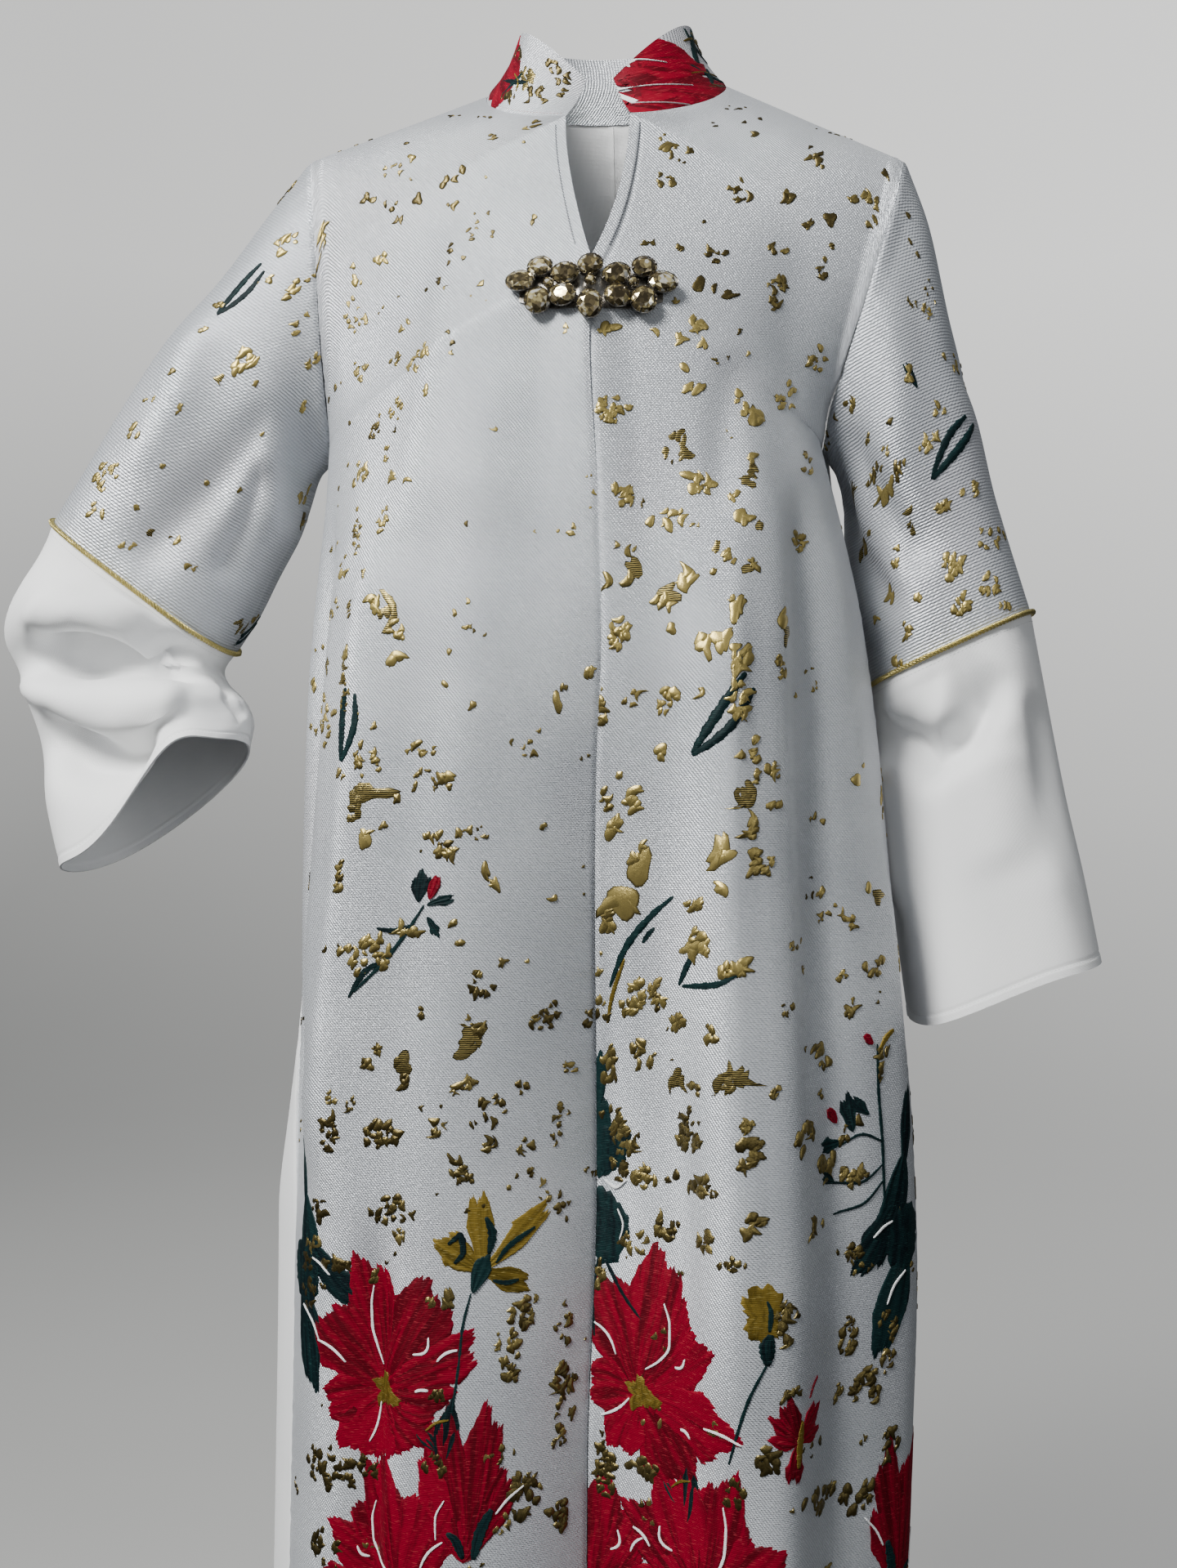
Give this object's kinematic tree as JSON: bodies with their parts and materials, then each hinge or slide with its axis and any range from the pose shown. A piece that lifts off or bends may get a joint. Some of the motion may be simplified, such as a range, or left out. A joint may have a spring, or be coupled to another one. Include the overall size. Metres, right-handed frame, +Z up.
{
  "type": "kaftan",
  "caption": "Full-length A-line kaftan, worn and hollow, with a stand collar, keyhole neck, sewn-on brooch, set-in sleeves and bell cuffs.",
  "frame": {"origin": "middle of the shoulder line, level with the sides of the neck, where the wearer's shoulders carry the garment", "axes": "+Z up along the centre front, -Y towards the viewer of the front, +X towards the wearer's left"},
  "size_m": [0.7689, 0.3222, 1.4461],
  "materials": {
    "jacquard": "silvery satin jacquard with a fine weave, gold flecks and a woven flower motif",
    "plain_white": "smooth matt white cloth",
    "collar_print": "satin jacquard, white to red with gold flecks",
    "gold_braid": "twisted metallic thread",
    "dark_silver": "oxidised silver",
    "champagne_glass": "faceted foil-backed glass"
  },
  "bodies": {
    "root": {"front_right": "jacquard", "front_left": "jacquard", "back_right": "plain_white", "back_left": "plain_white", "sleeve_right": "jacquard", "sleeve_left": "jacquard", "cuff_right": "plain_white", "cuff_left": "plain_white", "piping_right": "gold_braid", "piping_left": "gold_braid", "collar": "collar_print", "brooch_setting": "dark_silver", "stone_upper_1": "champagne_glass", "stone_upper_2": "champagne_glass", "stone_upper_3": "champagne_glass", "stone_side_1": "champagne_glass", "stone_side_2": "champagne_glass", "stone_inner_1": "champagne_glass", "stone_inner_2": "champagne_glass", "stone_centre_1": "champagne_glass", "stone_centre_2": "champagne_glass", "stone_centre_3": "champagne_glass", "stone_lower_1": "champagne_glass", "stone_lower_2": "champagne_glass", "stone_lower_3": "champagne_glass", "stone_lower_4": "champagne_glass", "stone_lower_5": "champagne_glass"}
  },
  "joints": []
}
